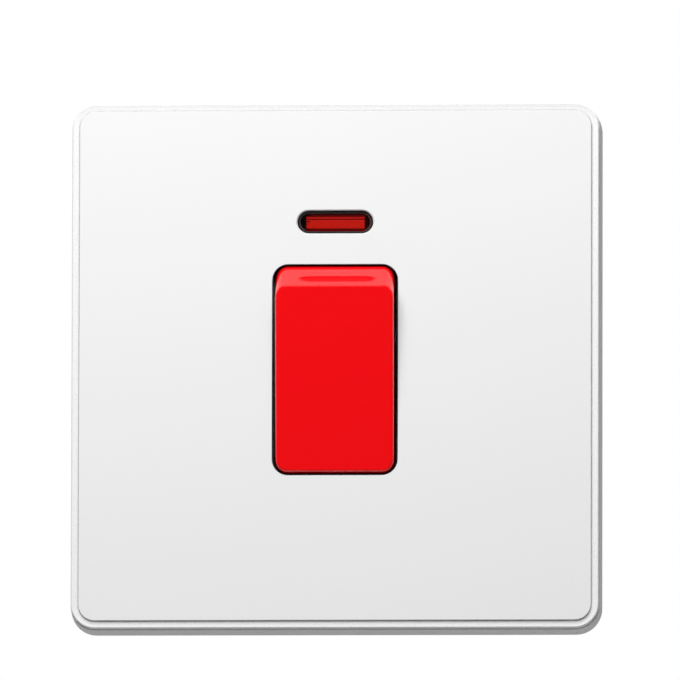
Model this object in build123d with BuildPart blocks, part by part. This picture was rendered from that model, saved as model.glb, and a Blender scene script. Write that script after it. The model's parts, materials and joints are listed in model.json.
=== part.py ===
from build123d import *
import os
from math import acos, atan2, cos, degrees, hypot, radians, sin, sqrt

# A one-gang cooker switch for a wall box: a clip-on front plate over a frame, a tall rocker, a neon
# indicator and a double-pole see-saw switch with four cable terminals and an earth terminal behind.
# X runs to the right, Y into the wall and Z up. The wall is the plane y = 0, and the origin is half-way
# between the two fixing holes. The rocker is shown switched on, with its lower end pressed in.

# Front plate
plate_size = 85.2
plate_corner = 3.8
plate_edge = 1.6
plate_edge_chamfer = 0.12
rim_width = 1.12
step_run = 0.12
panel_rise = 0.45
opening_chamfer = 0.2
lip_thickness = 1.2
lip_height = 1.2
lip_clearance = 0.15

# Snap hooks behind the front plate
hook_width = 8.0
hook_spread = 36.0
hook_reach = 3.6
barb_length = 1.4
barb_height = 0.5
hook_clearance = 0.1

# Mounting frame
frame_depth = 6.6
frame_ledge = 0.15
frame_flare = 0.4
frame_wall = 2.2
frame_chamfer = 0.35
frame_inner_corner = 2.0
shadow_gap = 0.2
web_thickness = 2.0
web_recess = 0.6
rear_land = 4.0
fixing_spacing = 60.3
fixing_radius = 2.1
fixing_pad = 10.0
post_width = 4.4
post_inset = 5.0
boss_height = 2.8

# Rocker and its window
mechanism_z = -0.75
window_width = 20.0
window_height = 34.0
window_corner = 2.4
pivot_depth = 12.75
rocker_proud = 2.0
rocker_tilt = 6.25
rocker_end_gap = 0.25
rocker_side_gap = 0.4
rocker_corner = 1.85
rocker_edge_radius = 0.55
rocker_wall = 1.6
rocker_skirt_angle = 63.0
rib_thickness = 1.4
rib_depth = 6.0
ear_radius = 3.6
ear_spread = 13.0
trunnion_radius = 2.0
trunnion_length = 2.9
running_clearance = 0.05

# Plungers and their springs
pole_x = 5.5
socket_radius = 3.2
socket_mouth = 3.0
socket_floor = 1.4
plunger_radius = 2.1
plunger_clearance = 0.1
plunger_shoulder = 5.6
plunger_tail = 1.5
nose_radius = 1.5
nose_flat = 0.7
nose_rise = 1.3
nose_clearance = 0.1
spigot_radius = 1.0
spigot_length = 1.4
spring_wire = 0.6
spring_radius = 1.6
spring_turns = 3.0
spring_seat_gap = 0.1

# See-saw contacts
lever_gap = 10.8
strip_width = 6.0
strip_thickness = 1.2
strip_upper = 14.6
strip_lower = 7.5
tip_offset = 12.5
tip_radius = 2.0
tip_height = 0.8
tip_chamfer = 0.4
contact_gap = 0.06
bar_thickness = 1.2
bar_foot_length = 3.0
bar_foot_over = 2.0
bar_margin = 2.0
ridge_tip_radius = 0.3
ridge_half_base = 0.9
ridge_gap = 0.05

# Cable terminals and their screws
terminal_x = 12.5
terminal_width = 9.5
terminal_length = 10.0
terminal_wall = 1.2
terminal_thread = 3.2
terminal_gap = 0.4
terminal_inner_z = 15.0
wire_radius = 3.2
wire_notch_margin = 0.5
screw_radius = 2.4
screw_head_radius = 3.9
screw_head_height = 2.6
screw_back_off = 0.2
screw_head_sink = 0.4
screw_slot_width = 1.0
screw_slot_depth = 1.2
thread_clearance = 0.05
earth_width = 8.4
earth_length = 9.0
earth_depth = 9.0
earth_wire_radius = 2.5
earth_screw_radius = 1.9
earth_head_radius = 3.1

# Switch housing and terminal base
body_corner = 3.0
body_wall = 1.8
body_side_room = 2.95
body_end_room = 0.2
flange_lip = 2.0
flange_thickness = 2.0
ear_clearance = 0.4
partition_thickness = 1.5
bay_clearance = 0.42
bay_side_clearance = 0.25
stop_clearance = 0.15
shaft_half = 17.5
plunger_window_width = 5.8
plunger_window_height = 9.0
cheek_thickness = 3.25
pocket_floor = 2.0
collar_margin = 2.4
window_clearance = 0.3
base_wall = 2.0
well_height = 4.0
well_wall = 1.6
well_clearance = 0.5
divider_thickness = 1.8
divider_recess = 2.0
cradle_thickness = 1.2
cradle_clearance = 0.25
cradle_depth = 7.0

# Assembly screws, from the back of the base through the housing into the frame
column_width = 6.4
column_inset = 1.7
assembly_z = 8.0
assembly_radius = 1.4
assembly_head_radius = 2.7
assembly_head_height = 1.8
assembly_clearance = 0.2
assembly_slot_width = 0.8
assembly_slot_depth = 0.9
assembly_tip_gap = 0.6

# Neon indicator
lens_gap = 5.21
lens_slot_width = 12.25
lens_slot_height = 3.66
lens_clearance = 0.12
lens_proud = 0.1
lens_chamfer = 0.35
lens_flange_margin = 0.8
lens_flange = 1.0
lens_window_width = 9.5
lens_window_height = 2.05
lens_front_wall = 1.1
lens_flutes = 5
lens_flute_depth = 0.07
lamp_radius = 1.9
lamp_length = 9.6
lamp_chamfer = 0.9
lamp_pinch_width = 1.6
lamp_pinch_length = 1.4
lamp_clearance = 0.2
lamp_front_gap = 0.3
lead_radius = 0.35
lead_spread = 1.0
lead_x = 11.0
lead_fold = 2.0
lead_hole_radius = 1.5
chamber_side = 0.9
chamber_wall = 1.4
resistor_radius = 1.1
resistor_length = 6.0
resistor_inset = 2.4

# Depths along Y, from the front to the back
tilt = radians(rocker_tilt)
web_back = -web_recess
web_front = web_back - web_thickness
boss_front = web_front - boss_height
frame_front = -frame_depth
plate_back = frame_front - shadow_gap
rim_front = plate_back - plate_edge
panel_front = rim_front - panel_rise
hook_tip = plate_back + hook_reach
catch_y = hook_tip - barb_length
collar_front = plate_back + lens_flange
flange_back = web_back + flange_thickness
pivot_y = panel_front + pivot_depth
contact_y = pivot_y + lever_gap
partition_front = pivot_y + ear_radius + ear_clearance
split_y = partition_front + partition_thickness
terminal_front = split_y + terminal_gap
wire_y = terminal_front + terminal_wall + wire_radius
floor_y = wire_y + wire_radius + terminal_thread
base_back = floor_y + base_wall
well_back = base_back + well_height
terminal_head_y = well_back - screw_head_sink - screw_head_height
earth_front = floor_y - earth_depth
earth_wire_y = earth_front + terminal_wall + earth_wire_radius
tip_reach = tip_height * cos(tilt) + (tip_offset + tip_radius - tip_chamfer) * sin(tilt)
bar_front = contact_y + tip_reach + contact_gap + tip_height
bar_back = bar_front + bar_thickness
lamp_y = collar_front + lamp_front_gap + lamp_radius
return_y = lamp_y + lamp_radius + lamp_clearance + lead_radius
chamber_back = return_y + lead_radius + lamp_clearance
resistor_front = chamber_back + resistor_inset
resistor_back = resistor_front + resistor_length

# Sizes and places across the plate
panel_base = plate_size - 2 * rim_width
frame_back_size = plate_size + 2 * frame_flare
frame_inner = plate_size + 2 * frame_ledge - 2 * frame_wall
lip_size = frame_inner - 2 * lip_clearance
post_spacing = frame_inner - 2 * post_inset
window_radius = hypot(window_height / 2, pivot_depth)
window_flare = sqrt(window_radius**2 - (pivot_y - plate_back) ** 2) - window_height / 2
rocker_radius = window_radius - rocker_end_gap
rocker_half_width = window_width / 2 - rocker_side_gap
rocker_face_depth = pivot_depth + rocker_proud
bay_radius = rocker_radius + bay_clearance
bay_half_width = rocker_half_width + bay_side_clearance
skirt_angle = radians(rocker_skirt_angle)
stop_y = pivot_y - rocker_radius * cos(skirt_angle + tilt) + stop_clearance
bay_skirt_angle = acos((pivot_y - stop_y) / bay_radius)
bore_radius = plunger_radius + plunger_clearance
nose_start = lever_gap - strip_thickness - nose_rise - nose_clearance
terminal_mid = terminal_inner_z + terminal_length / 2
terminal_end = terminal_inner_z + terminal_length
earth_mid = terminal_end - earth_length / 2
well_radius = screw_head_radius + well_clearance
earth_well_radius = earth_head_radius + well_clearance
body_inner_width = 2 * (terminal_x + terminal_width / 2 + body_side_room)
body_inner_height = 2 * (terminal_end + body_end_room)
body_width = body_inner_width + 2 * body_wall
body_height = body_inner_height + 2 * body_wall
assembly_x = body_inner_width / 2 - column_inset
lens_z = mechanism_z + window_height / 2 + lens_gap + lens_slot_height / 2
chamber_half = lamp_radius + lamp_clearance
collar_width = 2 * (bay_half_width + cheek_thickness)
collar_top = lens_z + chamber_half + chamber_wall
collar_bottom = mechanism_z - bay_radius - collar_margin
collar_height = collar_top - collar_bottom
collar_z = (collar_top + collar_bottom) / 2
bar_inner_x = pole_x - strip_width / 2
bar_outer_x = pole_x + strip_width / 2
bar_foot_x = terminal_x + bar_foot_over
load_bar_start = tip_offset - tip_radius - bar_thickness / 2

SIDES = ((-1, "left"), (1, "right"))
QUARTERS = [(side, up) for side in (-1, 1) for up in (-1, 1)]
terminal_places = [(side * terminal_x, mechanism_z + up * terminal_mid) for side, up in QUARTERS]
assembly_places = [(side * assembly_x, mechanism_z + up * assembly_z) for side, up in QUARTERS]
earth_place = (0, mechanism_z - earth_mid)
fixing_places = [(-fixing_spacing / 2, 0), (fixing_spacing / 2, 0)]
pole_places = [(-pole_x, mechanism_z), (pole_x, mechanism_z)]
lead_places = [(-lead_x, lens_z), (lead_x, lens_z)]

os.makedirs("parts", exist_ok=True)


def at_depth(y):
    """The upright plane at depth y. It faces the front, with X across and Z up."""
    return Plane.XZ.offset(-y)


def leaning(x, y, angle):
    """A side-on plane through (x, y) at the mechanism's height. Across is Y and up is Z, both leaning
    by the angle about X."""
    return Plane(origin=(x, y, mechanism_z), x_dir=(0, cos(angle), sin(angle)), z_dir=(1, 0, 0))


def save(piece, name):
    piece.label = name
    export_step(piece, f"parts/{name}.step")


def rocker_block(plane, radius, half_width, face_depth, end_angle):
    """A block with a flat face in front and two flat end walls, whose edges lie on a circle about the
    plane's origin."""
    face_half = sqrt(radius**2 - face_depth**2)
    end_y, end_z = -radius * cos(end_angle), radius * sin(end_angle)
    with BuildPart() as block:
        with BuildSketch(plane):
            Polygon(
                (-face_depth, -face_half),
                (-face_depth, face_half),
                (end_y, end_z),
                (end_y, -end_z),
                align=None,
            )
        extrude(amount=half_width, both=True)
    return block.part


# Front plate: a rim, a raised panel with a sloped step, a locating lip and four snap hooks. The window
# flares towards the back, so that the rocker's ends clear it at every angle.
with BuildPart() as front_plate:
    with BuildSketch(at_depth(plate_back)):
        RectangleRounded(plate_size, plate_size, plate_corner)
    extrude(amount=plate_edge)
    chamfer(front_plate.faces().sort_by(Axis.Y)[0].edges(), plate_edge_chamfer)
    with BuildSketch(at_depth(rim_front)):
        RectangleRounded(panel_base, panel_base, plate_corner - rim_width)
    extrude(amount=panel_rise, taper=degrees(atan2(step_run, panel_rise)))
    with BuildSketch(at_depth(plate_back + lip_height)):
        RectangleRounded(lip_size, lip_size, frame_inner_corner)
        offset(amount=-lip_thickness, mode=Mode.SUBTRACT)
    extrude(amount=lip_height)
    for side, up in QUARTERS:
        outer_x = side * lip_size / 2
        inner_x = outer_x - side * lip_thickness
        with BuildSketch(Plane.XY.offset(up * hook_spread / 2 - hook_width / 2)):
            Polygon(
                (inner_x, plate_back),
                (outer_x, plate_back),
                (outer_x, catch_y),
                (outer_x + side * barb_height, catch_y),
                (outer_x, hook_tip),
                (inner_x, hook_tip),
                align=None,
            )
        extrude(amount=hook_width)
    with BuildSketch(at_depth(plate_back)):
        with Locations((0, mechanism_z)):
            RectangleRounded(
                window_width + 2 * window_flare,
                window_height + 2 * window_flare,
                window_corner + window_flare,
            )
    plate_depth = plate_back - panel_front
    extrude(amount=plate_depth, taper=degrees(atan2(window_flare, plate_depth)), mode=Mode.SUBTRACT)
    with BuildSketch(at_depth(plate_back)):
        with Locations((0, lens_z)):
            SlotOverall(lens_slot_width, lens_slot_height)
    extrude(amount=plate_depth, mode=Mode.SUBTRACT)
    openings = front_plate.faces().sort_by(Axis.Y)[0].inner_wires()
    chamfer([edge for wire in openings for edge in wire.edges()], opening_chamfer)
save(front_plate.part, "front_plate")

# Mounting frame: a flared wall, a web with the mechanism's window, posts under the plate, fixing holes
# on pads and bosses for the assembly screws
pocket_depth = barb_height + hook_clearance - lip_clearance
with BuildPart() as mounting_frame:
    with BuildSketch(at_depth(0)):
        RectangleRounded(frame_back_size, frame_back_size, plate_corner + frame_flare)
    extrude(amount=frame_depth, taper=degrees(atan2(frame_flare - frame_ledge, frame_depth)))
    chamfer(mounting_frame.faces().sort_by(Axis.Y)[0].edges(), frame_chamfer)
    with BuildSketch(at_depth(web_front)):
        RectangleRounded(frame_inner, frame_inner, frame_inner_corner)
    extrude(amount=web_front - frame_front, mode=Mode.SUBTRACT)
    with BuildSketch(at_depth(0)):
        Rectangle(frame_back_size - 2 * rear_land, frame_back_size - 2 * rear_land)
    extrude(amount=web_recess, mode=Mode.SUBTRACT)
    with BuildSketch(at_depth(0)):
        with Locations(fixing_places):
            Rectangle(fixing_pad, fixing_pad)
    extrude(amount=web_recess)
    with BuildSketch(at_depth(web_front)):
        with GridLocations(post_spacing, post_spacing, 2, 2):
            Rectangle(post_width, post_width)
    extrude(amount=web_front - plate_back)
    with BuildSketch(at_depth(web_front)):
        with Locations(assembly_places):
            Rectangle(column_width, column_width)
    extrude(amount=boss_height)
    with BuildSketch(at_depth(0)):
        with Locations(fixing_places):
            Circle(fixing_radius)
        with Locations((0, collar_z)):
            Rectangle(collar_width + 2 * window_clearance, collar_height + 2 * window_clearance)
    extrude(amount=-web_front, mode=Mode.SUBTRACT)
    with BuildSketch(at_depth(web_back)):
        with Locations(assembly_places):
            Circle(assembly_radius + thread_clearance)
    extrude(amount=web_back - boss_front, mode=Mode.SUBTRACT)
    with BuildSketch(at_depth(web_front)):
        with GridLocations(frame_inner + pocket_depth, hook_spread, 2, 2):
            Rectangle(pocket_depth, hook_width + 2 * lip_clearance)
    extrude(amount=web_front - catch_y + hook_clearance, mode=Mode.SUBTRACT)
save(mounting_frame.part, "mounting_frame")

# Rocker: a hollow shell with sockets for the plungers, ears at the pivot and two trunnions
rocker_plane = leaning(0, pivot_y, tilt)
plunge = Vector(0, cos(tilt), sin(tilt))
inner_face = rocker_wall - rocker_face_depth
socket_root = inner_face - rocker_wall / 2
socket_start = inner_face + socket_floor
skirt_line = -rocker_radius * cos(skirt_angle)


def along_plunger(x, distance):
    """A plane square to the plungers, at a distance behind the rocker's pivot."""
    return Plane(origin=Vector(x, pivot_y, mechanism_z) + plunge * distance, x_dir=(1, 0, 0), z_dir=plunge)


rocker_shell = rocker_block(rocker_plane, rocker_radius, rocker_half_width, rocker_face_depth, skirt_angle)
rocker_hollow = rocker_block(
    rocker_plane,
    rocker_radius - rocker_wall,
    rocker_half_width - rocker_wall,
    rocker_face_depth - rocker_wall,
    bay_skirt_angle,
)
with BuildPart() as rocker:
    add(rocker_shell)
    upright = Axis(rocker_plane.origin, rocker_plane.y_dir)
    wall_edges = rocker.edges().filter_by(Axis.X, reverse=True).filter_by(upright, reverse=True)
    fillet(wall_edges, rocker_corner)
    fillet(rocker.faces().sort_by(Axis.Y)[0].edges(), rocker_edge_radius)
    add(rocker_hollow, mode=Mode.SUBTRACT)
    for x in (-rocker_half_width, rocker_half_width - rocker_wall):
        with BuildSketch(rocker_plane.offset(x)):
            Circle(ear_radius)
            with Locations((skirt_line - rocker_wall / 2, 0)):
                Rectangle(rocker_wall, ear_spread)
            make_hull()
        extrude(amount=rocker_wall)
    for side, _ in SIDES:
        with BuildSketch(rocker_plane.offset(side * rocker_half_width)):
            Circle(trunnion_radius)
        extrude(amount=side * trunnion_length)
    with BuildSketch(along_plunger(0, socket_root)):
        Rectangle(2 * rocker_half_width - rocker_wall, rib_thickness)
    extrude(amount=rib_depth)
    with BuildSketch(along_plunger(0, socket_root)):
        with GridLocations(2 * pole_x, 0, 2, 1):
            Circle(socket_radius)
    extrude(amount=socket_mouth - socket_root)
    with BuildSketch(along_plunger(0, socket_start)):
        with GridLocations(2 * pole_x, 0, 2, 1):
            Circle(bore_radius)
    extrude(amount=socket_mouth - socket_start, mode=Mode.SUBTRACT)
save(rocker.part, "rocker")

# Plungers: a guided barrel with a spigot for the spring and a coned nose
for side, name in SIDES:
    base_point = Vector(side * pole_x, pivot_y, mechanism_z)
    with BuildPart() as plunger:
        with BuildSketch(Plane(origin=base_point, x_dir=(1, 0, 0), z_dir=(0, -sin(tilt), cos(tilt)))):
            Polygon(
                (0, -plunger_tail - spigot_length),
                (spigot_radius, -plunger_tail - spigot_length),
                (spigot_radius, -plunger_tail),
                (plunger_radius, -plunger_tail),
                (plunger_radius, plunger_shoulder),
                (nose_radius, plunger_shoulder),
                (nose_radius, nose_start),
                (nose_flat, nose_start + nose_rise),
                (0, nose_start + nose_rise),
                align=None,
            )
        revolve(axis=Axis(base_point, plunge))
    save(plunger.part, f"plunger_{name}")

# Plunger springs: open coils between the socket's floor and the plunger's shoulder
spring_start = socket_start + spring_wire / 2 + spring_seat_gap
spring_length = -plunger_tail - spring_wire / 2 - spring_seat_gap - spring_start
for side, name in SIDES:
    with BuildPart() as plunger_spring:
        with BuildLine(along_plunger(side * pole_x, spring_start)) as coil:
            Helix(spring_length / spring_turns, spring_length, spring_radius, direction=plunge)
        with BuildSketch(Plane(origin=coil.line @ 0, z_dir=coil.line % 0)):
            RegularPolygon(spring_wire / 2, side_count=4)
        sweep(path=coil.line, is_frenet=True)
    save(plunger_spring.part, f"plunger_spring_{name}")

# Moving contacts: strips that rock on a ridge, each with a tip at its upper end
strip_back = Vector(0, cos(tilt), -sin(tilt))
strip_up = Vector(0, sin(tilt), cos(tilt))
for side, name in SIDES:
    hinge = Vector(side * pole_x, contact_y, mechanism_z)
    with BuildPart() as moving_contact:
        with BuildSketch(Plane(origin=hinge, x_dir=(1, 0, 0), z_dir=-strip_back)):
            with Locations((0, (strip_upper - strip_lower) / 2)):
                Rectangle(strip_width, strip_upper + strip_lower)
        extrude(amount=strip_thickness)
    save(moving_contact.part, f"moving_contact_{name}")
    with BuildPart() as moving_tip:
        with BuildSketch(Plane(origin=hinge + strip_up * tip_offset, x_dir=(1, 0, 0), z_dir=strip_back)):
            Circle(tip_radius)
        extrude(amount=tip_height)
        chamfer(moving_tip.faces().sort_by(Axis.Y)[-1].edges(), tip_chamfer)
    save(moving_tip.part, f"moving_tip_{name}")


def bar_outline(side, start, end):
    """A flat bar with a foot against its terminal, from start to end above the mechanism's middle."""
    foot = end - bar_foot_length if end > start else end + bar_foot_length
    corners = (
        (bar_inner_x, start),
        (bar_outer_x, start),
        (bar_outer_x, foot),
        (bar_foot_x, foot),
        (bar_foot_x, end),
        (bar_inner_x, end),
    )
    Polygon(*[(side * x, mechanism_z + z) for x, z in corners], align=None)


# Fixed contacts: tips on the load bars, and supply bars with the ridges that carry the strips
for side, name in SIDES:
    with BuildPart() as fixed_tip:
        with BuildSketch(at_depth(bar_front)):
            with Locations((side * pole_x, mechanism_z + tip_offset * cos(tilt))):
                Circle(tip_radius)
        extrude(amount=tip_height)
    save(fixed_tip.part, f"fixed_tip_{name}")
    with BuildPart() as load_bar:
        with BuildSketch(at_depth(bar_back)):
            bar_outline(side, load_bar_start, terminal_inner_z)
        extrude(amount=bar_thickness)
    save(load_bar.part, f"load_bar_{name}")
    with BuildPart() as supply_bar:
        with BuildSketch(at_depth(bar_back)):
            bar_outline(side, bar_margin, -terminal_inner_z)
        extrude(amount=bar_thickness)
        with BuildSketch(leaning(side * pole_x, 0, 0)):
            with Locations((contact_y + ridge_gap + ridge_tip_radius, 0)):
                Circle(ridge_tip_radius)
            with Locations((bar_front + bar_thickness / 2, 0)):
                Rectangle(bar_thickness, 2 * ridge_half_base)
            make_hull()
        extrude(amount=strip_width / 2, both=True)
    save(supply_bar.part, f"supply_bar_{name}")


def terminal_block(place, width, length, front, bore_y, bore, screw):
    """A block on the base's floor with a wire bore along Z and a screw hole from behind."""
    with BuildPart() as block:
        with BuildSketch(at_depth(floor_y)):
            with Locations(place):
                Rectangle(width, length)
        extrude(amount=floor_y - front)
        with BuildSketch(Plane.XY.offset(place[1] - length / 2)):
            with Locations((place[0], bore_y)):
                Circle(bore)
        extrude(amount=length, mode=Mode.SUBTRACT)
        with BuildSketch(at_depth(floor_y)):
            with Locations(place):
                Circle(screw + thread_clearance)
        extrude(amount=floor_y - bore_y, mode=Mode.SUBTRACT)
    return block.part


# Cable terminals: load terminals at the top, supply terminals at the bottom and the earth terminal
for side, name in SIDES:
    for up, role in ((1, "load"), (-1, "supply")):
        place = (side * terminal_x, mechanism_z + up * terminal_mid)
        terminal = terminal_block(
            place, terminal_width, terminal_length, terminal_front, wire_y, wire_radius, screw_radius
        )
        save(terminal, f"{role}_terminal_{name}")
earth_terminal = terminal_block(
    earth_place, earth_width, earth_length, earth_front, earth_wire_y, earth_wire_radius, earth_screw_radius
)
save(earth_terminal, "earth_terminal")


def rear_screws(places, tip_y, head_y, shank, head, head_height, slot_width, slot_depth):
    """Slotted cheese-head screws driven from behind, each a solid of its own."""
    with BuildPart() as screws:
        with BuildSketch(at_depth(head_y)):
            with Locations(places):
                Circle(shank)
        extrude(amount=head_y - tip_y)
        with BuildSketch(at_depth(head_y + head_height)):
            with Locations(places):
                Circle(head)
        extrude(amount=head_height)
        with BuildSketch(at_depth(head_y + head_height)):
            with Locations(places):
                Rectangle(2 * head, slot_width)
        extrude(amount=slot_depth, mode=Mode.SUBTRACT)
    return screws.part


# Screws: clamp screws backed off to free the wire bores, and long screws that hold the shells together
terminal_screws = rear_screws(
    terminal_places,
    wire_y + wire_radius + screw_back_off,
    terminal_head_y,
    screw_radius,
    screw_head_radius,
    screw_head_height,
    screw_slot_width,
    screw_slot_depth,
)
save(terminal_screws, "terminal_screws")
earth_screw = rear_screws(
    [earth_place],
    earth_wire_y + earth_wire_radius + screw_back_off,
    terminal_head_y,
    earth_screw_radius,
    earth_head_radius,
    screw_head_height,
    screw_slot_width,
    screw_slot_depth,
)
save(earth_screw, "earth_screw")
assembly_screws = rear_screws(
    assembly_places,
    boss_front + assembly_tip_gap,
    base_back,
    assembly_radius,
    assembly_head_radius,
    assembly_head_height,
    assembly_slot_width,
    assembly_slot_depth,
)
save(assembly_screws, "assembly_screws")

# Switch housing: a flange behind the frame, a collar round the rocker bay, bearings in the bay's cheeks,
# stops under the rocker's skirts, a partition in front of the contacts and a chamber for the lamp
pocket_width = (body_inner_width - collar_width) / 2
with BuildPart() as mechanism_housing:
    with BuildSketch(at_depth(split_y)):
        with Locations((0, mechanism_z)):
            RectangleRounded(body_width, body_height, body_corner)
    extrude(amount=split_y - web_back)
    with BuildSketch(at_depth(flange_back)):
        with Locations((0, mechanism_z)):
            RectangleRounded(body_width + 2 * flange_lip, body_height + 2 * flange_lip, body_corner)
    extrude(amount=flange_thickness)
    with BuildSketch(at_depth(web_back)):
        with Locations((0, collar_z)):
            Rectangle(collar_width, collar_height)
    extrude(amount=web_back - collar_front)
    with BuildSketch(at_depth(split_y)):
        with Locations((0, mechanism_z)):
            with GridLocations(collar_width + pocket_width, 0, 2, 1):
                Rectangle(pocket_width, body_inner_height)
    extrude(amount=split_y - web_back - pocket_floor, mode=Mode.SUBTRACT)
    with BuildSketch(at_depth(split_y)):
        with Locations(assembly_places):
            Rectangle(column_width, column_width)
    extrude(amount=split_y - web_back - pocket_floor / 2)
    with BuildSketch(at_depth(split_y)):
        with Locations(assembly_places):
            Circle(assembly_radius + assembly_clearance)
    extrude(amount=split_y - web_back, mode=Mode.SUBTRACT)
    with BuildSketch(leaning(0, pivot_y, 0)):
        Circle(bay_radius)
        with Locations((stop_y - pivot_y, 0)):
            Rectangle(bay_radius, 2 * bay_radius, align=(Align.MAX, Align.CENTER), mode=Mode.INTERSECT)
    extrude(amount=bay_half_width, both=True, mode=Mode.SUBTRACT)
    with BuildSketch(at_depth(partition_front)):
        with Locations((0, mechanism_z)):
            Rectangle(2 * bay_half_width, 2 * shaft_half)
    extrude(amount=partition_front - stop_y, mode=Mode.SUBTRACT)
    with BuildSketch(at_depth(split_y)):
        with Locations(pole_places):
            Rectangle(plunger_window_width, plunger_window_height)
    extrude(amount=partition_thickness, mode=Mode.SUBTRACT)
    with BuildSketch(leaning(0, pivot_y, 0)):
        Circle(trunnion_radius + running_clearance)
    extrude(amount=collar_width / 2, both=True, mode=Mode.SUBTRACT)
    with BuildSketch(at_depth(chamber_back)):
        with Locations((0, lens_z)):
            Rectangle(2 * (lead_x + chamber_side), 2 * chamber_half)
    extrude(amount=chamber_back - collar_front, mode=Mode.SUBTRACT)
    with BuildSketch(at_depth(split_y)):
        with Locations(lead_places):
            Circle(lead_hole_radius)
    extrude(amount=split_y - chamber_back, mode=Mode.SUBTRACT)
save(mechanism_housing.part, "mechanism_housing")

# Terminal base: the rear shell with raised screw wells, wire notches that are open at the split, cradles
# for the blocks, seats for the bars and a divider between the poles
cradle_spacing = terminal_width + 2 * cradle_clearance + cradle_thickness
with BuildPart() as terminal_base:
    with BuildSketch(at_depth(base_back)):
        with Locations((0, mechanism_z)):
            RectangleRounded(body_width, body_height, body_corner)
    extrude(amount=base_back - split_y)
    with BuildSketch(at_depth(floor_y)):
        with Locations((0, mechanism_z)):
            Rectangle(body_inner_width, body_inner_height)
    extrude(amount=floor_y - split_y, mode=Mode.SUBTRACT)
    with BuildSketch(at_depth(floor_y)):
        with Locations(assembly_places):
            Rectangle(column_width, column_width)
    extrude(amount=floor_y - split_y)
    with BuildSketch(at_depth(floor_y)):
        with Locations((0, mechanism_z + (body_inner_height / 2 - terminal_inner_z) / 2)):
            Rectangle(divider_thickness, body_inner_height / 2 + terminal_inner_z)
    extrude(amount=floor_y - split_y - divider_recess)
    with BuildSketch(at_depth(floor_y)):
        with Locations(terminal_places):
            with GridLocations(cradle_spacing, 0, 2, 1):
                Rectangle(cradle_thickness, terminal_length)
    extrude(amount=cradle_depth)
    with BuildSketch(at_depth(floor_y)):
        with Locations((0, mechanism_z + (terminal_inner_z + load_bar_start) / 2)):
            with GridLocations(2 * pole_x, 0, 2, 1):
                Rectangle(strip_width, terminal_inner_z - load_bar_start)
        with Locations((0, mechanism_z + (bar_margin - terminal_inner_z) / 2)):
            with GridLocations(2 * pole_x, 0, 2, 1):
                Rectangle(strip_width, terminal_inner_z + bar_margin)
    extrude(amount=floor_y - bar_back)
    with BuildSketch(at_depth(well_back)):
        with Locations((0, mechanism_z)):
            with GridLocations(0, 2 * terminal_mid, 1, 2):
                Rectangle(2 * (terminal_x + well_radius + well_wall), 2 * (well_radius + well_wall))
    extrude(amount=well_height)
    with BuildSketch(at_depth(well_back)):
        with Locations(terminal_places):
            Circle(well_radius)
        with Locations(earth_place):
            Circle(earth_well_radius)
    extrude(amount=well_back - floor_y, mode=Mode.SUBTRACT)
    with BuildSketch(at_depth(base_back)):
        with Locations(assembly_places):
            Circle(assembly_radius + assembly_clearance)
    extrude(amount=base_back - split_y, mode=Mode.SUBTRACT)
    wire_notches = [(x, up, wire_y, wire_radius) for x in (-terminal_x, terminal_x) for up in (-1, 1)]
    for x, up, notch_y, bore in [*wire_notches, (0, -1, earth_wire_y, earth_wire_radius)]:
        notch_radius = bore + wire_notch_margin
        with BuildSketch(Plane.XY.offset(mechanism_z + up * body_inner_height / 2)):
            with Locations((x, notch_y)):
                Circle(notch_radius)
            with Locations((x, (split_y + notch_y) / 2)):
                Rectangle(2 * notch_radius, notch_y - split_y)
        extrude(amount=up * body_wall, mode=Mode.SUBTRACT)
save(terminal_base.part, "terminal_base")

# Neon lens: a stadium in the plate's slot with a flange behind the plate and flutes in its window
flute_front = panel_front - lens_proud + lens_front_wall
flute_pitch = lens_window_height / lens_flutes
with BuildPart() as neon_lens:
    with BuildSketch(at_depth(collar_front)):
        with Locations((0, lens_z)):
            Rectangle(lens_slot_width + 2 * lens_flange_margin, lens_slot_height + 2 * lens_flange_margin)
    extrude(amount=lens_flange)
    with BuildSketch(at_depth(plate_back)):
        with Locations((0, lens_z)):
            SlotOverall(lens_slot_width - 2 * lens_clearance, lens_slot_height - 2 * lens_clearance)
    extrude(amount=plate_back - panel_front + lens_proud)
    chamfer(neon_lens.faces().sort_by(Axis.Y)[0].edges(), lens_chamfer)
    with BuildSketch(at_depth(collar_front)):
        with Locations((0, lens_z)):
            Rectangle(lens_window_width, lens_window_height)
    extrude(amount=collar_front - flute_front, mode=Mode.SUBTRACT)
    with BuildSketch(Plane.YZ.offset(-lens_window_width / 2)):
        for count in range(lens_flutes):
            low = lens_z - lens_window_height / 2 + count * flute_pitch
            Polygon(
                (flute_front, low),
                (flute_front, low + flute_pitch),
                (flute_front - lens_flute_depth, low + flute_pitch / 2),
                align=None,
            )
    extrude(amount=lens_window_width, mode=Mode.SUBTRACT)
save(neon_lens.part, "neon_lens")

# Neon lamp, its two leads from one end, and the resistor in the lead that folds back behind the lamp
pinch_x = lamp_length / 2 + lamp_pinch_length
fold_x = pinch_x + lead_fold
straight_lead = ((pinch_x, lamp_y - lead_spread), (lead_x, lamp_y - lead_spread), (lead_x, terminal_front))
folded_lead = (
    (pinch_x, lamp_y + lead_spread),
    (fold_x, lamp_y + lead_spread),
    (fold_x, return_y),
    (-lead_x, return_y),
    (-lead_x, resistor_front),
)
with BuildPart() as neon_lamp:
    with BuildSketch(Plane.YZ.offset(-lamp_length / 2)):
        with Locations((lamp_y, lens_z)):
            Circle(lamp_radius)
    extrude(amount=lamp_length)
    chamfer(neon_lamp.faces().sort_by(Axis.X)[0].edges(), lamp_chamfer)
    with BuildSketch(Plane.YZ.offset(lamp_length / 2)):
        with Locations((lamp_y, lens_z)):
            Rectangle(2 * (lead_spread + lead_radius), lamp_pinch_width)
    extrude(amount=lamp_pinch_length)
save(neon_lamp.part, "neon_lamp")

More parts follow.
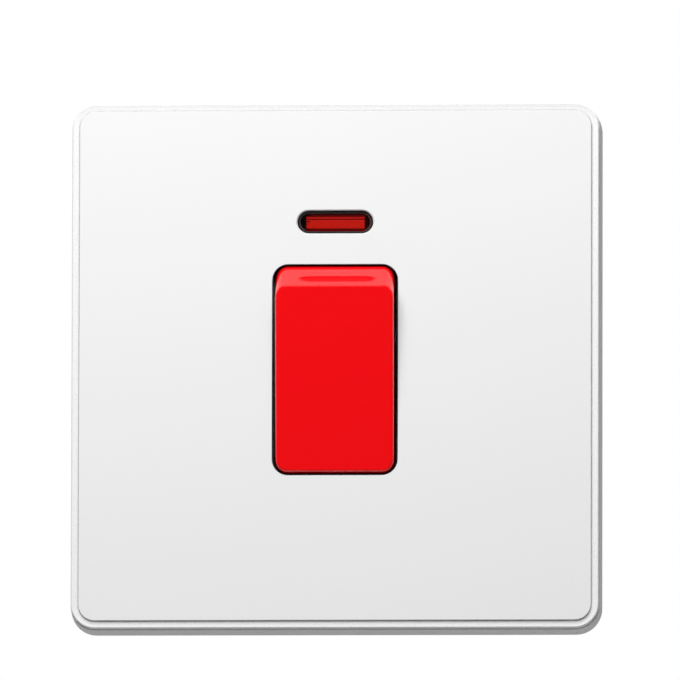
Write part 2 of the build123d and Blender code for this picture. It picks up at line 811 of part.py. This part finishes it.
with BuildPart() as neon_leads:
    for route in (straight_lead, folded_lead):
        with BuildLine(Plane.XY.offset(lens_z)) as path:
            Polyline(*route)
        with BuildSketch(Plane(origin=path.line @ 0, z_dir=path.line % 0)):
            RegularPolygon(lead_radius, side_count=4)
        sweep(path=path.line, transition=Transition.RIGHT)
    with BuildSketch(at_depth(terminal_front)):
        with Locations(lead_places[0]):
            RegularPolygon(lead_radius, side_count=4)
    extrude(amount=terminal_front - resistor_back)
save(neon_leads.part, "neon_leads")

with BuildPart() as neon_resistor:
    with BuildSketch(at_depth(resistor_back)):
        with Locations(lead_places[0]):
            Circle(resistor_radius)
    extrude(amount=resistor_length)
save(neon_resistor.part, "neon_resistor")
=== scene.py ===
# Looks of a cooker switch: a finish for every piece, plain studio light and the photograph's camera.
import json
from math import cos, radians, sin

import bpy
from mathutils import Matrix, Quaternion, Vector


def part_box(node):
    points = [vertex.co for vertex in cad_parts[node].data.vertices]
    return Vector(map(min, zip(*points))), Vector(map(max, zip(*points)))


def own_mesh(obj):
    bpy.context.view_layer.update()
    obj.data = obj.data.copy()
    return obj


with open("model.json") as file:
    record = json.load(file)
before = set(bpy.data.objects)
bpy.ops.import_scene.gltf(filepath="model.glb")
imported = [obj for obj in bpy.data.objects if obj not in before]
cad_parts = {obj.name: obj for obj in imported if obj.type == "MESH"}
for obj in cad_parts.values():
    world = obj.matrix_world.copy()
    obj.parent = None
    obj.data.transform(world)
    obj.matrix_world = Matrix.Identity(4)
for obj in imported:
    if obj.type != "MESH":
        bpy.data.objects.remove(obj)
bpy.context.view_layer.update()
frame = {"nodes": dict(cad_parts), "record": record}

MM = 0.001

# The photograph's frame and viewing angle
IMAGE_SIZE = 680
PIXELS_PER_MM = 6.188
PANEL_PIXEL = (335.0, 365.0)
CAMERA_AZIMUTH = radians(2.45)
CAMERA_ELEVATION = radians(-6.65)
CAMERA_ROLL = radians(0.14)
CAMERA_DISTANCE = 3.0
SENSOR_WIDTH = 36.0

# Two soft lamps, with places and sizes in metres and powers in watts
KEY_PLACE = (-0.06, -0.40, 0.34)
KEY_SIZE = (0.45, 0.50)
KEY_POWER = 4.0
REAR_PLACE = (-0.25, 0.75, 0.22)
REAR_SIZE = (0.45, 0.45)
REAR_POWER = 4.2

# Soft light from all round, which grows along its axis
AMBIENT_AXIS = (0.40, 0.15, 0.90)
AMBIENT_LOW = 0.0
AMBIENT_HIGH = 0.25

# What gloss shows of the studio: white behind and beside the switch, dark in front of it, and one soft
# glint above. Edges and cores are cosines of the angle from the axis.
FRONT_AXIS = (0.0, -1.0, 0.0)
FRONT_EDGE = 0.0
FRONT_CORE = 0.3
FRONT_SHADE = 0.04
GLINT_AXIS = (-0.10, -0.61, 0.79)
GLINT_EDGE = 0.95
GLINT_CORE = 0.985
GLINT = 1.2

# A floor well below the switch, which fades out from the near to the far distance
FLOOR_DROP = 0.5
FLOOR_HALF = 1.0
FLOOR_NEAR = 0.52
FLOOR_FAR = 0.75
FLOOR_CLOUD = 60 * MM
FLOOR_COLOURS = ((0.82, 0.82, 0.82, 1.0), (0.80, 0.80, 0.80, 1.0))
FLOOR_ROUGHNESS = 0.9

# Nearly all of a noise lies between these values
NOISE_LOW = 0.3
NOISE_HIGH = 0.7

# Painted shade in narrow gaps and inner corners: how far a surface looks for its neighbours, how open it
# lies where the painted shade is full and where it ends, and the shade's dark colours
GAP_SAMPLES = 8
GAP_REACH = 1.2 * MM
DEEP_GAP_REACH = 4.0 * MM
PANEL_GAP = (0.4, 0.75)
RIM_GAP = (0.45, 0.77)
ROCKER_GAP = (0.45, 0.75)
MOULDED_GAP = (0.2, 0.5)
GAP_SHADE = (0.04, 0.03, 0.03, 1.0)
ROCKER_GAP_SHADE = (0.05, 0.0, 0.0, 1.0)

# Broken edges
EDGE_SAMPLES = 6

# The front plate's panel
PANEL_CLOUD = 25 * MM
PANEL_PEEL = 2.5 * MM
PANEL_COLOURS = ((0.870, 0.870, 0.872, 1.0), (0.858, 0.858, 0.862, 1.0))
PANEL_ROUGHNESS = (0.31, 0.35)

# The front plate's rim, which lies behind the panel's front by the rise and slopes inwards by the dish. Its
# finish starts and is complete at two shares of the rise.
PANEL_RISE = 0.45 * MM
RIM_START = 0.2
RIM_FULL = 0.9
RIM_WIDTH = 1.12 * MM
RIM_CORNER = 3.8 * MM
RIM_DISH = 0.18
RIM_GRAIN = 0.28 * MM
RIM_GRAIN_DEPTH = 0.01 * MM
RIM_FLECKS = (0.52, 0.68)
RIM_COLOURS = ((0.905, 0.905, 0.91, 1.0), (0.80, 0.80, 0.82, 1.0))
RIM_ROUGHNESS = (0.45, 0.65)

# The rocker, and the neutral colour of the light that it throws back
ROCKER_CLOUD = 14 * MM
ROCKER_PEEL = 3 * MM
ROCKER_PEEL_DEPTH = 0.0008 * MM
ROCKER_COLOURS = ((1.0, 0.003, 0.006, 1.0), (0.97, 0.003, 0.006, 1.0))
ROCKER_BOUNCE = (0.2, 0.2, 0.2, 1.0)
ROCKER_ROUGHNESS = (0.015, 0.035)
ROCKER_IOR = 1.7

# The lens: its clear window's width and height, and the thick moulding round it
LENS_WINDOW = (9.3 * MM, 2.1 * MM)
LENS_FADE = 0.15 * MM
LENS_RIPPLE = 1.2 * MM
LENS_RIPPLE_DEPTH = 0.002 * MM
LENS_CLEAR = (0.335, 0.03, 0.05, 1.0)
LENS_THICK = (0.008, 0.0, 0.0005, 1.0)
LENS_ROUGHNESS = (0.02, 0.06)
LENS_IOR = 1.58

# The lit lamp behind the lens
LAMP_CLOUD = 1.5 * MM
LAMP_COLOURS = ((0.90, 0.55, 0.42, 1.0), (0.85, 0.40, 0.30, 1.0))
LAMP_GLOWS = ((1.0, 0.26, 0.08, 1.0), (1.0, 0.20, 0.05, 1.0))
LAMP_STRENGTH = 1.5
LAMP_ROUGHNESS = (0.05, 0.12)

# The resistor, with each band's place as a share of the length and its colour
RESISTOR_GRAIN = 0.6 * MM
RESISTOR_GRAIN_DEPTH = 0.01 * MM
RESISTOR_COLOUR = (0.62, 0.45, 0.27, 1.0)
RESISTOR_ROUGHNESS = (0.25, 0.4)
BANDS = ((0.2, (0.30, 0.08, 0.03, 1.0)), (0.4, (0.02, 0.02, 0.02, 1.0)), (0.6, (0.80, 0.55, 0.05, 1.0)))
BAND_HALF = 0.30 * MM
BAND_FADE = 0.05 * MM

# Plain moulded plastics: two colours that cloud into each other, the roughness, and in millimetres the
# grain's size, the grain's depth and the edges' radius
PLASTIC_CLOUD = 9 * MM
PLASTIC_SPREAD = (0.85, 1.15)
PLASTICS = {
    "frame_white": ((0.83, 0.83, 0.835, 1), (0.80, 0.80, 0.805, 1), 0.55, 0.3, 0.006, 0.12),
    "housing_white": ((0.80, 0.80, 0.78, 1), (0.76, 0.76, 0.74, 1), 0.5, 0.25, 0.01, 0.2),
    "base_white": ((0.78, 0.78, 0.76, 1), (0.74, 0.74, 0.72, 1), 0.55, 0.25, 0.012, 0.2),
    "plunger_nylon": ((0.78, 0.74, 0.64, 1), (0.72, 0.68, 0.58, 1), 0.4, 0.4, 0.006, 0.1),
}

# Bare metals: the colour and its tarnish, the roughness, the streaks' size in millimetres, how far they are
# drawn out along x, y and z, and in millimetres the streaks' depth and the edges' radius
METAL_STAIN = 3 * MM
METAL_STAINED = (0.4, 0.75)
METAL_SPREAD = (0.7, 1.3)
METALS = {
    "spring_steel": ((0.52, 0.52, 0.54, 1), (0.38, 0.37, 0.36, 1), 0.25, 0.1, (1, 3, 1), 0.002, 0.0),
    "contact_copper": ((0.86, 0.48, 0.32, 1), (0.60, 0.30, 0.19, 1), 0.3, 0.08, (1, 1, 30), 0.003, 0.1),
    "tip_silver": ((0.86, 0.85, 0.82, 1), (0.62, 0.60, 0.55, 1), 0.25, 0.15, (1, 1, 1), 0.003, 0.1),
    "bar_brass": ((0.83, 0.62, 0.30, 1), (0.62, 0.43, 0.19, 1), 0.3, 0.08, (30, 1, 1), 0.003, 0.12),
    "terminal_brass": ((0.83, 0.62, 0.30, 1), (0.66, 0.46, 0.20, 1), 0.28, 0.1, (1, 1, 25), 0.004, 0.2),
    "screw_brass": ((0.80, 0.61, 0.31, 1), (0.58, 0.41, 0.19, 1), 0.26, 0.12, (20, 1, 1), 0.004, 0.2),
    "screw_zinc": ((0.68, 0.70, 0.72, 1), (0.52, 0.53, 0.52, 1), 0.3, 0.15, (1, 1, 1), 0.003, 0.15),
    "lead_tinned": ((0.74, 0.74, 0.72, 1), (0.55, 0.55, 0.53, 1), 0.3, 0.2, (1, 1, 1), 0.003, 0.0),
}


def set_inputs(tree, node, inputs):
    """Fills the inputs of a node, each with a value or a link."""
    for key, value in inputs.items():
        if isinstance(value, bpy.types.NodeSocket):
            tree.links.new(value, node.inputs[key])
        else:
            node.inputs[key].default_value = value


def add(tree, kind, inputs=None, **settings):
    """Adds a node, sets its properties and fills its inputs."""
    made = tree.nodes.new(kind)
    for name, value in settings.items():
        setattr(made, name, value)
    set_inputs(tree, made, inputs or {})
    return made


def new_material(name):
    """A material with its tree, its shader and the coordinates of the part's frame, in metres."""
    material = bpy.data.materials.new(name)
    material.use_nodes = True
    tree = material.node_tree
    place = add(tree, "ShaderNodeTexCoord").outputs["Object"]
    return material, tree, tree.nodes["Principled BSDF"], place


def ramp(tree, value, start, end, low=0.0, high=1.0):
    """A value that goes from low to high as the given one goes from start to end."""
    limits = {"Value": value, "From Min": start, "From Max": end, "To Min": low, "To Max": high}
    return add(tree, "ShaderNodeMapRange", limits).outputs["Result"]


def uneven(tree, noise, low, high):
    """A value that follows a noise from low to high."""
    return ramp(tree, noise, NOISE_LOW, NOISE_HIGH, low, high)


def blend_colours(tree, share, first, second):
    """The first colour, going over to the second as the share rises to 1."""
    return add(tree, "ShaderNodeMix", {0: share, 6: first, 7: second}, data_type="RGBA").outputs[2]


def blend_values(tree, share, first, second):
    """The first value, going over to the second as the share rises to 1."""
    return add(tree, "ShaderNodeMix", {0: share, 2: first, 3: second}, data_type="FLOAT").outputs[0]


def reckon(tree, operation, first, second=0.0):
    """One step of arithmetic on values."""
    return add(tree, "ShaderNodeMath", {0: first, 1: second}, operation=operation).outputs[0]


def distance_from(tree, value, middle):
    """How far a value lies from a middle, on either side."""
    return reckon(tree, "ABSOLUTE", reckon(tree, "SUBTRACT", value, middle))


def along(tree, direction, axis):
    """How far a direction points along an axis."""
    product = add(tree, "ShaderNodeVectorMath", {0: direction, 1: axis}, operation="DOT_PRODUCT")
    return product.outputs["Value"]


def grain(tree, place, size, stretch=(1, 1, 1), detail=2.0):
    """Noise with grains of a given size, drawn out along each axis by the stretch."""
    scale = [1 / (size * length) for length in stretch]
    drawn = add(tree, "ShaderNodeMapping", {"Vector": place, "Scale": scale}).outputs[0]
    return add(tree, "ShaderNodeTexNoise", {"Vector": drawn, "Scale": 1.0, "Detail": detail}).outputs["Fac"]


def relief(tree, height, depth, edge_radius=0.0):
    """A surface normal with relief of a given depth, on edges that are broken by a small radius."""
    inputs = {"Height": height, "Distance": depth}
    if edge_radius:
        edge = add(tree, "ShaderNodeBevel", {"Radius": edge_radius}, samples=EDGE_SAMPLES)
        inputs["Normal"] = edge.outputs["Normal"]
    return add(tree, "ShaderNodeBump", inputs).outputs["Normal"]


# Painted shade: darkness in gaps and inner corners is put into the base colour
def paint_gap_shade(tree, colour, reach, limits, gap_shade=GAP_SHADE):
    """The colour with painted shade: it goes over to a dark shade colour where other surfaces lie close on
    all sides, as in gaps and inner corners.
    """
    shade = add(tree, "ShaderNodeAmbientOcclusion", {"Distance": reach}, samples=GAP_SAMPLES)
    openness = ramp(tree, shade.outputs["AO"], *limits)
    return blend_colours(tree, openness, gap_shade, colour)


def outward(tree, place, low, high, corner):
    """The distance past the round corners' centres of a plate with the given box, measured outwards."""
    beyond = []
    axes = add(tree, "ShaderNodeSeparateXYZ", {0: place})
    for axis in ("x", "z"):
        first, last = getattr(low, axis), getattr(high, axis)
        away = distance_from(tree, axes.outputs[axis.upper()], (first + last) / 2)
        past_centre = reckon(tree, "SUBTRACT", away, (last - first) / 2 - corner)
        beyond.append(reckon(tree, "MAXIMUM", past_centre))
    flat = add(tree, "ShaderNodeCombineXYZ", {"X": beyond[0], "Z": beyond[1]}).outputs[0]
    return add(tree, "ShaderNodeVectorMath", {0: flat}, operation="LENGTH").outputs["Value"]


def moulded(slot, colour, shade, roughness, grain_size, grain_depth, edge_radius):
    """Moulded plastic with a faint cloudiness, an uneven gloss and the mould's own texture, and painted
    shade that darkens it in deep, narrow gaps.
    """
    material, tree, shader, place = new_material(slot)
    cloud = grain(tree, place, PLASTIC_CLOUD)
    texture = grain(tree, place, grain_size * MM, detail=3.0)
    clouded = blend_colours(tree, cloud, colour, shade)
    smoothest, roughest = (share * roughness for share in PLASTIC_SPREAD)
    set_inputs(
        tree,
        shader,
        {
            # Painted shade: the colour goes dark in deep, narrow gaps
            "Base Color": paint_gap_shade(tree, clouded, DEEP_GAP_REACH, MOULDED_GAP),
            "Roughness": uneven(tree, texture, smoothest, roughest),
            "Normal": relief(tree, texture, grain_depth * MM, edge_radius * MM),
        },
    )
    return material


def metal(slot, colour, tarnish, roughness, streak_size, stretch, streak_depth, edge_radius):
    """Bare metal with tool or rolling marks along one direction and a little uneven tarnish."""
    material, tree, shader, place = new_material(slot)
    stain = ramp(tree, grain(tree, place, METAL_STAIN, detail=4.0), *METAL_STAINED)
    streak = grain(tree, place, streak_size * MM, stretch, detail=3.0)
    smoothest, roughest = (share * roughness for share in METAL_SPREAD)
    set_inputs(
        tree,
        shader,
        {
            "Base Color": blend_colours(tree, stain, colour, tarnish),
            "Metallic": 1.0,
            "Roughness": uneven(tree, streak, smoothest, roughest),
            "Normal": relief(tree, streak, streak_depth * MM, edge_radius * MM),
        },
    )
    return material


def plate_white(slot):
    """Gloss white moulding with a polished panel in front and a fine-grained satin rim behind it, with
    painted shade in its narrow gaps and in the inner corner at the foot of the panel's step.
    """
    material, tree, shader, place = new_material(slot)
    low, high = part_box("front_plate")
    panel_front = low.y
    depth = add(tree, "ShaderNodeSeparateXYZ", {0: place}).outputs["Y"]
    rim = ramp(tree, depth, panel_front + RIM_START * PANEL_RISE, panel_front + RIM_FULL * PANEL_RISE)
    speckle = grain(tree, place, RIM_GRAIN)
    flecks = ramp(tree, speckle, *RIM_FLECKS)
    past_centres = outward(tree, place, low, high, RIM_CORNER)
    past_panel = reckon(tree, "MAXIMUM", reckon(tree, "SUBTRACT", past_centres, RIM_CORNER - RIM_WIDTH))
    dish = reckon(tree, "MULTIPLY", past_panel, RIM_DISH)
    texture = reckon(tree, "MULTIPLY", reckon(tree, "MULTIPLY", speckle, rim), RIM_GRAIN_DEPTH)
    panel_colour = blend_colours(tree, grain(tree, place, PANEL_CLOUD), *PANEL_COLOURS)
    rim_colour = blend_colours(tree, flecks, *RIM_COLOURS)
    # Painted shade: panel and rim go dark in narrow gaps and in the inner corner where the rim meets the
    # panel's step
    panel_shaded = paint_gap_shade(tree, panel_colour, GAP_REACH, PANEL_GAP)
    rim_shaded = paint_gap_shade(tree, rim_colour, GAP_REACH, RIM_GAP)
    panel_roughness = uneven(tree, grain(tree, place, PANEL_PEEL), *PANEL_ROUGHNESS)
    rim_roughness = uneven(tree, speckle, *RIM_ROUGHNESS)
    set_inputs(
        tree,
        shader,
        {
            "Base Color": blend_colours(tree, rim, panel_shaded, rim_shaded),
            "Roughness": blend_values(tree, rim, panel_roughness, rim_roughness),
            "Normal": relief(tree, reckon(tree, "ADD", texture, dish), 1.0),
        },
    )
    return material


def rocker_red(slot):
    """Gloss red moulding with the slight waviness of a polished mould, and painted shade that turns it
    nearly black deep in the gap round it. The light that it throws back on the white panel is neutral, so
    that the panel shows no red beside it."""
    material, tree, shader, place = new_material(slot)
    peel = grain(tree, place, ROCKER_PEEL)
    colour = blend_colours(tree, grain(tree, place, ROCKER_CLOUD), *ROCKER_COLOURS)
    # Painted shade: the red goes nearly black deep in the gap round the rocker
    shaded = paint_gap_shade(tree, colour, GAP_REACH, ROCKER_GAP, ROCKER_GAP_SHADE)
    thrown_back = add(tree, "ShaderNodeLightPath").outputs["Is Diffuse Ray"]
    set_inputs(
        tree,
        shader,
        {
            "Base Color": blend_colours(tree, thrown_back, shaded, ROCKER_BOUNCE),
            "IOR": ROCKER_IOR,
            "Roughness": uneven(tree, peel, *ROCKER_ROUGHNESS),
            "Normal": relief(tree, peel, ROCKER_PEEL_DEPTH),
        },
    )
    return material


def lens_red(slot):
    """Clear deep red moulding, darker where it is thick round the fluted window."""
    material, tree, shader, place = new_material(slot)
    low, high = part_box("neon_lens")
    middle = (low + high) / 2
    axes = add(tree, "ShaderNodeSeparateXYZ", {0: place})
    across = distance_from(tree, axes.outputs["X"], middle.x)
    above = distance_from(tree, axes.outputs["Z"], middle.z)
    half_width, half_height = (size / 2 for size in LENS_WINDOW)
    ends = ramp(tree, across, half_width, half_width + LENS_FADE)
    sides = ramp(tree, above, half_height, half_height + LENS_FADE)
    thick = reckon(tree, "MAXIMUM", ends, sides)
    ripple = grain(tree, place, LENS_RIPPLE)
    set_inputs(
        tree,
        shader,
        {
            "Base Color": blend_colours(tree, thick, LENS_CLEAR, LENS_THICK),
            "Transmission Weight": 1.0,
            "IOR": LENS_IOR,
            "Roughness": uneven(tree, ripple, *LENS_ROUGHNESS),
            "Normal": relief(tree, ripple, LENS_RIPPLE_DEPTH),
        },
    )
    return material


def lamp_glass(slot):
    """Lit neon lamp: glass with an uneven orange glow."""
    material, tree, shader, place = new_material(slot)
    cloud = grain(tree, place, LAMP_CLOUD)
    set_inputs(
        tree,
        shader,
        {
            "Base Color": blend_colours(tree, cloud, *LAMP_COLOURS),
            "Roughness": uneven(tree, cloud, *LAMP_ROUGHNESS),
            "Emission Color": blend_colours(tree, cloud, *LAMP_GLOWS),
            "Emission Strength": LAMP_STRENGTH,
        },
    )
    return material


def resistor_tan(slot):
    """Lacquered resistor with plain colour bands along its length."""
    material, tree, shader, place = new_material(slot)
    low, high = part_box("neon_resistor")
    depth = add(tree, "ShaderNodeSeparateXYZ", {0: place}).outputs["Y"]
    colour = RESISTOR_COLOUR
    for share, band_colour in BANDS:
        away = distance_from(tree, depth, low.y + share * (high.y - low.y))
        band = ramp(tree, away, BAND_HALF + BAND_FADE, BAND_HALF)
        colour = blend_colours(tree, band, colour, band_colour)
    lacquer = grain(tree, place, RESISTOR_GRAIN)
    set_inputs(
        tree,
        shader,
        {
            "Base Color": colour,
            "Roughness": uneven(tree, lacquer, *RESISTOR_ROUGHNESS),
            "Normal": relief(tree, lacquer, RESISTOR_GRAIN_DEPTH),
        },
    )
    return material


def dress_pieces():
    """Gives every piece the finish of its material slot in the record."""
    finishes = {
        "plate_white": plate_white("plate_white"),
        "rocker_red": rocker_red("rocker_red"),
        "lens_red": lens_red("lens_red"),
        "lamp_glass": lamp_glass("lamp_glass"),
        "resistor_tan": resistor_tan("resistor_tan"),
    }
    for slot, values in PLASTICS.items():
        finishes[slot] = moulded(slot, *values)
    for slot, values in METALS.items():
        finishes[slot] = metal(slot, *values)
    for row in frame["record"]["subparts"]:
        piece = frame["nodes"][row["node"]]
        piece.material_slots[0].material = finishes[row["material_slot"]]


def shorten_springs(joint):
    """Gives each spring that a slide presses a mesh of its own."""
    for row in joint.get("deforming_nodes", []):
        spring = frame["nodes"][row["node"]]
        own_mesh(spring)


def place_camera():
    """A long lens from a little below and to the right, aimed so that the panel lies on its pixel."""
    back = Vector(
        (
            sin(CAMERA_AZIMUTH) * cos(CAMERA_ELEVATION),
            -cos(CAMERA_AZIMUTH) * cos(CAMERA_ELEVATION),
            sin(CAMERA_ELEVATION),
        )
    )
    right = Vector((cos(CAMERA_AZIMUTH), sin(CAMERA_AZIMUTH), 0))
    up = back.cross(right)
    low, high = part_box("front_plate")
    panel = Vector(((low.x + high.x) / 2, low.y, (low.z + high.z) / 2))
    pixel = MM / PIXELS_PER_MM
    half_image = IMAGE_SIZE / 2
    aim = panel + pixel * ((half_image - PANEL_PIXEL[0]) * right + (PANEL_PIXEL[1] - half_image) * up)
    data = bpy.data.cameras.new("camera")
    data.sensor_width = SENSOR_WIDTH
    data.lens = SENSOR_WIDTH * CAMERA_DISTANCE / (IMAGE_SIZE * pixel)
    camera = bpy.data.objects.new("camera", data)
    camera.location = aim + CAMERA_DISTANCE * back
    camera.rotation_mode = "QUATERNION"
    camera.rotation_quaternion = Quaternion(back, CAMERA_ROLL) @ (-back).to_track_quat("-Z", "Y")
    bpy.context.scene.collection.objects.link(camera)
    bpy.context.scene.camera = camera


def soft_lamp(name, place, size, power, polarised=False):
    """A soft lamp of a given width and height that faces the switch. No gloss shows a polarised lamp."""
    data = bpy.data.lights.new(name, "AREA")
    data.shape = "RECTANGLE"
    data.size, data.size_y = size
    data.energy = power
    lamp = bpy.data.objects.new(name, data)
    lamp.location = place
    lamp.visible_glossy = not polarised
    lamp.rotation_mode = "QUATERNION"
    lamp.rotation_quaternion = (-Vector(place)).to_track_quat("-Z", "Y")
    bpy.context.scene.collection.objects.link(lamp)


def studio_world():
    """White behind the switch and in its reflections, which darken towards the front apart from a glint
    above, and soft light that is stronger from above and behind."""
    world = bpy.data.worlds.new("studio")
    world.use_nodes = True
    bpy.context.scene.world = world
    tree = world.node_tree
    direction = add(tree, "ShaderNodeTexCoord").outputs["Generated"]
    ray = add(tree, "ShaderNodeLightPath").outputs
    ambient = ramp(tree, along(tree, direction, AMBIENT_AXIS), -1.0, 1.0, AMBIENT_LOW, AMBIENT_HIGH)
    around = ramp(tree, along(tree, direction, FRONT_AXIS), FRONT_EDGE, FRONT_CORE, 1.0, FRONT_SHADE)
    glint = ramp(tree, along(tree, direction, GLINT_AXIS), GLINT_EDGE, GLINT_CORE, 0.0, GLINT)
    mirrored = reckon(tree, "ADD", around, glint)
    is_mirrored = reckon(tree, "MAXIMUM", ray["Is Glossy Ray"], ray["Is Transmission Ray"])
    lit = blend_values(tree, is_mirrored, ambient, mirrored)
    strength = blend_values(tree, ray["Is Camera Ray"], lit, 1.0)
    set_inputs(tree, tree.nodes["Background"], {"Color": (1.0, 1.0, 1.0, 1.0), "Strength": strength})


def studio_floor():
    """A plain pale floor that melts into the white at its edge and only shows from above."""
    mesh = bpy.data.meshes.new("floor")
    signs = ((-1, -1), (1, -1), (1, 1), (-1, 1))
    corners = [(x * FLOOR_HALF, y * FLOOR_HALF, -FLOOR_DROP) for x, y in signs]
    mesh.from_pydata(corners, [], [(0, 1, 2, 3)])
    floor = bpy.data.objects.new("floor", mesh)
    bpy.context.scene.collection.objects.link(floor)
    material, tree, shader, place = new_material("floor")
    tint = blend_colours(tree, grain(tree, place, FLOOR_CLOUD), *FLOOR_COLOURS)
    set_inputs(tree, shader, {"Base Color": tint, "Roughness": FLOOR_ROUGHNESS})
    away = add(tree, "ShaderNodeVectorMath", {0: place}, operation="LENGTH").outputs["Value"]
    underside = add(tree, "ShaderNodeNewGeometry").outputs["Backfacing"]
    faded = reckon(tree, "MAXIMUM", ramp(tree, away, FLOOR_NEAR, FLOOR_FAR), underside)
    clear = add(tree, "ShaderNodeBsdfTransparent").outputs[0]
    surface = add(tree, "ShaderNodeMixShader", {0: faded, 1: shader.outputs[0], 2: clear}).outputs[0]
    tree.links.new(surface, tree.nodes["Material Output"].inputs["Surface"])
    mesh.materials.append(material)


dress_pieces()
for joint in frame["record"]["behaviour"]["joints"]:
    shorten_springs(joint)
place_camera()
soft_lamp("key_lamp", KEY_PLACE, KEY_SIZE, KEY_POWER, polarised=True)
soft_lamp("rear_lamp", REAR_PLACE, REAR_SIZE, REAR_POWER)
studio_world()
studio_floor()
bpy.context.scene.view_settings.view_transform = "Standard"
